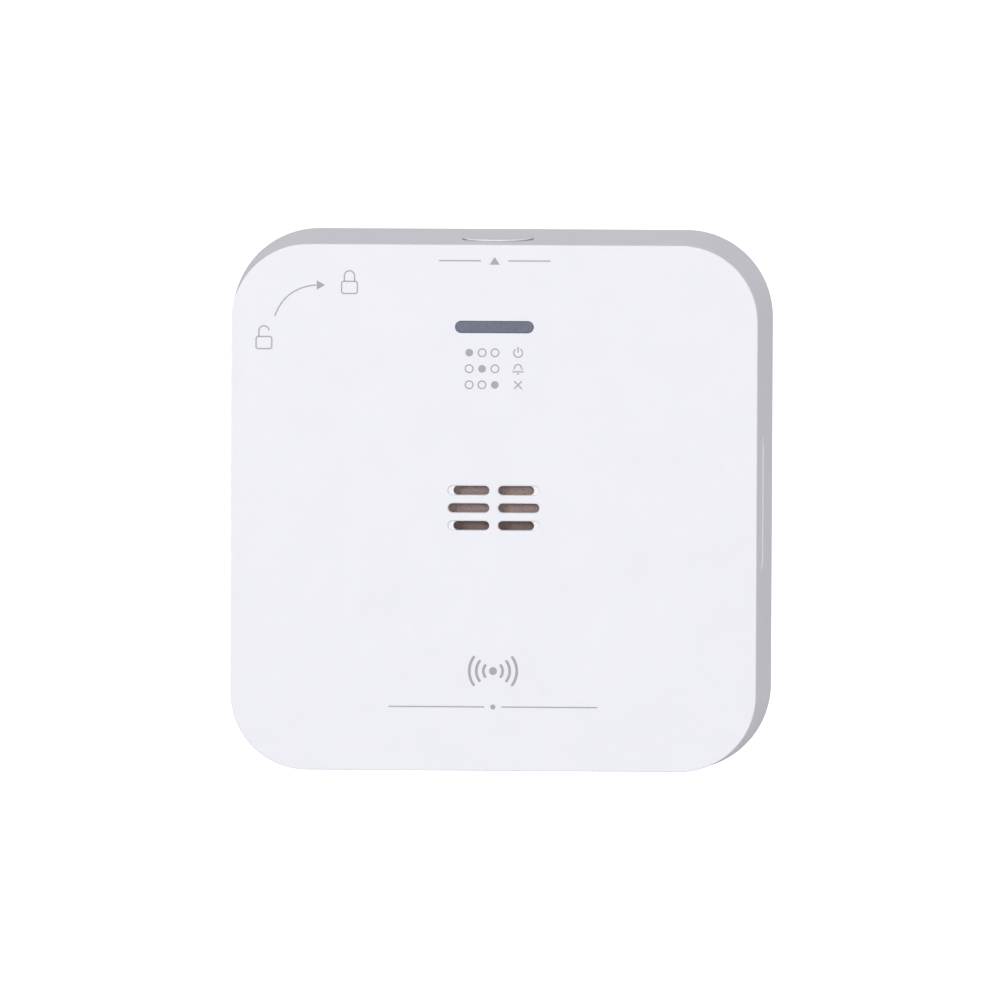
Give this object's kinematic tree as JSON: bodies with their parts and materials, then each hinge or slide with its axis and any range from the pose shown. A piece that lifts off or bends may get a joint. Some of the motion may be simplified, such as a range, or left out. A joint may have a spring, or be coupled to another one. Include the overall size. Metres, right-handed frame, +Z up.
{
  "type": "carbon monoxide detector",
  "caption": "Square wall-mounted gas alarm with rounded corners, centre vent slots, a light bar and a top test button; it twists on to a round wall plate.",
  "frame": {"origin": "centre of the mounting plate's flat wall face, which is also the twist axis", "axes": "+Y points out of the back into the wall, so the front faces -Y; +X is to the right as seen from the front; +Z is up, towards the test button"},
  "size_m": [0.0854, 0.033, 0.0854],
  "materials": {
    "white_plastic": "fine satin grain, moulded",
    "button_plastic": "fine satin grain, moulded",
    "slate_light_pipe": "smooth translucent light guide",
    "black_plastic": "satin moulded",
    "grey_plastic": "satin moulded",
    "ivory_plastic": "satin moulded",
    "mesh_cloth": "fine woven dust cloth",
    "charcoal_felt": "pressed charcoal felt",
    "brass": "rolled brass sheet",
    "piezo_ceramic": "silvered ceramic",
    "steel": "zinc-plated or drawn steel",
    "nickel": "nickel plate",
    "copper_wire": "enamelled copper wire",
    "ferrite": "sintered ferrite",
    "circuit_board": "green solder mask on glass fibre board",
    "chip_black": "moulded epoxy",
    "cell_sleeve": "shrink sleeve",
    "green_lens": "tinted clear epoxy",
    "red_lens": "tinted clear epoxy",
    "yellow_lens": "tinted clear epoxy",
    "red_cable": "wire insulation",
    "black_cable": "wire insulation"
  },
  "bodies": {
    "mounting_plate": {"mounting_plate": "white_plastic"},
    "alarm": {"front_cover": "white_plastic", "rear_cover": "white_plastic", "light_pipe": "slate_light_pipe", "vent_mesh": "mesh_cloth", "main_circuit_board": "circuit_board", "led_green": "green_lens", "led_red": "red_lens", "led_yellow": "yellow_lens", "microcontroller": "chip_black", "sensor_amplifier": "chip_black", "electrolytic_capacitor": "steel", "sounder_coil_core": "ferrite", "sounder_coil_winding": "copper_wire", "tact_switch_body": "black_plastic", "sounder_housing": "black_plastic", "sounder_retaining_ring": "grey_plastic", "piezo_disc": "brass", "piezo_ceramic": "piezo_ceramic", "sounder_spring_signal": "steel", "sounder_spring_common": "steel", "sounder_spring_feedback": "steel", "co_sensor_can": "steel", "co_sensor_base": "black_plastic", "co_sensor_reservoir": "ivory_plastic", "co_sensor_electrode_stack": "charcoal_felt", "co_sensor_cap": "black_plastic", "co_sensor_filter": "charcoal_felt", "co_sensor_pin_working": "nickel", "co_sensor_pin_counter": "nickel", "co_sensor_pin_reference": "nickel", "battery_holder": "black_plastic", "battery_cell": "cell_sleeve", "positive_contact": "nickel", "negative_contact": "nickel", "negative_spring": "nickel", "battery_lead_red": "red_cable", "battery_lead_black": "black_cable", "power_switch_body": "black_plastic", "case_screw_1": "steel", "board_screw_1": "steel", "case_screw_2": "steel", "board_screw_2": "steel", "case_screw_3": "steel", "board_screw_3": "steel", "case_screw_4": "steel", "board_screw_4": "steel"},
    "test_button": {"test_button": "button_plastic"},
    "tact_switch_plunger": {"tact_switch_plunger": "grey_plastic"},
    "activation_slider": {"activation_slider": "grey_plastic", "power_switch_knob": "grey_plastic"}
  },
  "joints": [
    {"name": "twist_lock", "type": "hinge", "parent": "mounting_plate", "child": "alarm", "pos_m": [0, 0, 0], "axis": [0, 1, 0], "range_deg": [-15, 0]},
    {"name": "test_button_press", "type": "slide", "parent": "alarm", "child": "test_button", "axis": [0, 0, -1], "range_m": [0, 0.0006], "stiffness_N_per_m": 150, "springref_m": -0.002},
    {"name": "tact_plunger_travel", "type": "slide", "parent": "alarm", "child": "tact_switch_plunger", "axis": [0, 0, -1], "range_m": [0, 0.0006]},
    {"name": "activation_slide", "type": "slide", "parent": "alarm", "child": "activation_slider", "axis": [1, 0, 0], "range_m": [0, 0.0022]}
  ],
  "couplings": [
    {"joint": "tact_plunger_travel", "follows": "test_button_press", "ratio": 1},
    {"joint": "activation_slide", "follows": "twist_lock", "m_per_rad": -0.008}
  ]
}
